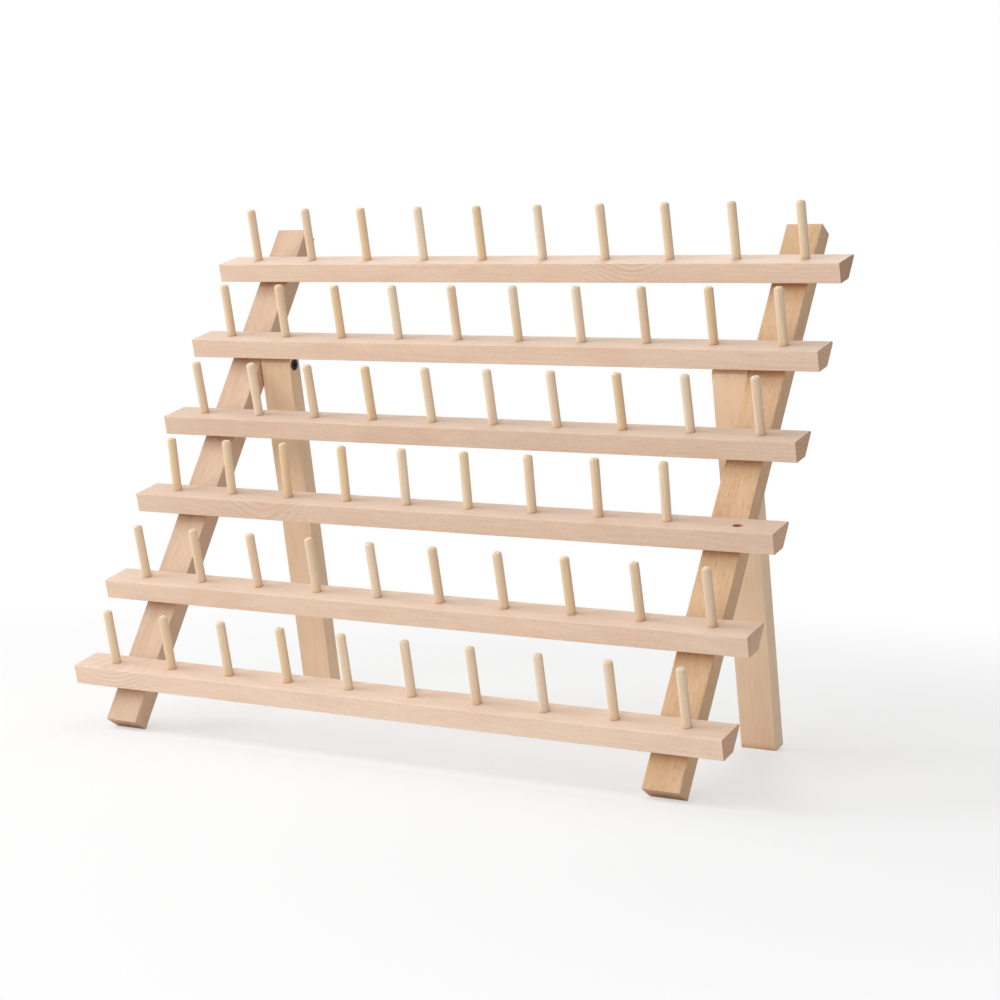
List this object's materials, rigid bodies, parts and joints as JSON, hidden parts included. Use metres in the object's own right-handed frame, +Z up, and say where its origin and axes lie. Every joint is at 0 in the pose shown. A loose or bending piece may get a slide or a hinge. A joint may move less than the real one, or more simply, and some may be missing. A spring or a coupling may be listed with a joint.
{
  "type": "thread spool rack",
  "caption": "Free-standing wooden rack with sloping rows of pegs for thread spools, held up by two rear legs that fold flat beside its uprights.",
  "frame": {"origin": "on the floor, under the middle of the standing rack's box", "axes": "+X along the rails to the viewer's right, -Y the side that the pegs lean towards, +Z up"},
  "size_m": [0.4064, 0.1765, 0.3003],
  "materials": {
    "rail_wood": "bare sanded beech",
    "peg_wood": "bare dowel, tumbled smooth",
    "upright_wood": "bare sanded beech, warmer in tone",
    "leg_wood": "bare sanded beech",
    "black_screw": "black oxide",
    "bright_screw": "zinc plated"
  },
  "bodies": {
    "rack": {"left_upright": "upright_wood", "right_upright": "upright_wood", "rail_1": "rail_wood", "rail_2": "rail_wood", "rail_3": "rail_wood", "rail_4": "rail_wood", "rail_5": "rail_wood", "rail_6": "rail_wood", "pegs_1": "peg_wood", "pegs_2": "peg_wood", "pegs_3": "peg_wood", "pegs_4": "peg_wood", "pegs_5": "peg_wood", "pegs_6": "peg_wood", "left_hinge_screw": "black_screw", "right_hinge_screw": "black_screw", "left_rail_screws": "bright_screw", "right_rail_screws": "bright_screw"},
    "left_leg": {"left_leg": "leg_wood"},
    "right_leg": {"right_leg": "leg_wood"}
  },
  "joints": [
    {"name": "left_leg_fold", "type": "hinge", "parent": "rack", "child": "left_leg", "pos_m": [-0.149, 0.03268, 0.20693], "axis": [-1, 0, 0], "range_deg": [0, 42.8]},
    {"name": "right_leg_fold", "type": "hinge", "parent": "rack", "child": "right_leg", "pos_m": [0.149, 0.03268, 0.20693], "axis": [-1, 0, 0], "range_deg": [0, 42.8]}
  ]
}
